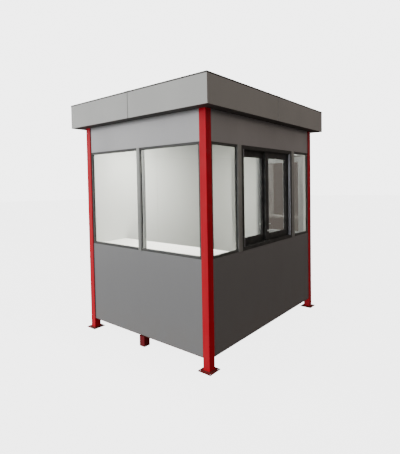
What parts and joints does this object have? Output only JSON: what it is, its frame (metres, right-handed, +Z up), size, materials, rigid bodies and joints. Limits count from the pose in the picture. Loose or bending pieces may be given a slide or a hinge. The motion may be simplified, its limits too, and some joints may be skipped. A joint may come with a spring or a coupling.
{
  "type": "security guard booth",
  "caption": "Free-standing guard booth: red post frame on base plates, grey cladding, glazed front and side with a sliding window, glazed back door, and a boxed flat roof.",
  "frame": {"origin": "on the ground at the centre of the plan, under the middle of the roof", "axes": "+Z up; -Y towards the front wall with two fixed windows; +X towards the wall with the sliding window; the door is in the +Y wall"},
  "size_m": [2.033, 2.433, 2.6],
  "materials": {
    "post_red": "gloss red enamel",
    "plate_steel": "dull dark red primer with rust",
    "frame_primer": "matt red oxide primer",
    "cladding": "satin silver-grey coated sheet",
    "fascia": "satin silver-grey coated sheet",
    "soffit_dark": "matt dark grey coated sheet",
    "lining": "smooth white laminate",
    "floor": "grey vinyl on board",
    "lamp": "opal diffuser",
    "roof_sheet": "galvanised ribbed sheet",
    "cap_dark": "dark folded flashing",
    "mullion_silver": "satin anodised",
    "window_dark": "dark bronze anodised",
    "slider_black": "black powder coat",
    "clear_glass": "clear float glass",
    "pull_white": "white moulded plastic",
    "door_aluminium": "satin anodised",
    "door_infill": "satin silver-grey coated sheet",
    "hardware": "brushed stainless steel",
    "counter_white": "white laminate",
    "bracket_grey": "light grey paint"
  },
  "bodies": {
    "booth": {"corner_posts": "post_red", "base_plates": "plate_steel", "mid_feet": "plate_steel", "base_frame": "frame_primer", "floor_deck": "floor", "wall_frame": "frame_primer", "front_cladding": "cladding", "right_cladding": "cladding", "left_cladding": "cladding", "back_cladding": "cladding", "back_header": "cladding", "front_lining": "lining", "right_lining": "lining", "left_lining": "lining", "back_lining": "lining", "ceiling_panel": "lining", "ceiling_light": "lamp", "roof_frame": "frame_primer", "roof_deck": "roof_sheet", "fascia_front_left": "fascia", "fascia_front_right": "fascia", "fascia_back_left": "fascia", "fascia_back_right": "fascia", "fascia_frame": "frame_primer", "soffit": "soffit_dark", "parapet_liner": "roof_sheet", "parapet_cap": "cap_dark", "mullions": "mullion_silver", "window_frames": "window_dark", "window_glass": "clear_glass", "slider_frame": "slider_black", "slider_sashes": "slider_black", "slider_glass": "clear_glass", "sash_pull": "pull_white", "door_frame": "door_aluminium", "door_threshold": "hardware", "door_hinge_pins": "hardware", "counter_top": "counter_white", "counter_brackets": "bracket_grey"},
    "door": {"door_leaf_frame": "door_aluminium", "door_glass": "clear_glass", "door_panel": "door_infill", "door_handles": "hardware", "door_hinge_knuckles": "hardware"}
  },
  "joints": [
    {"name": "door_hinge", "type": "hinge", "parent": "booth", "child": "door", "pos_m": [0.7925, 1.103, 1.1], "axis": [0, 0, -1], "range_deg": [0, 100]}
  ]
}
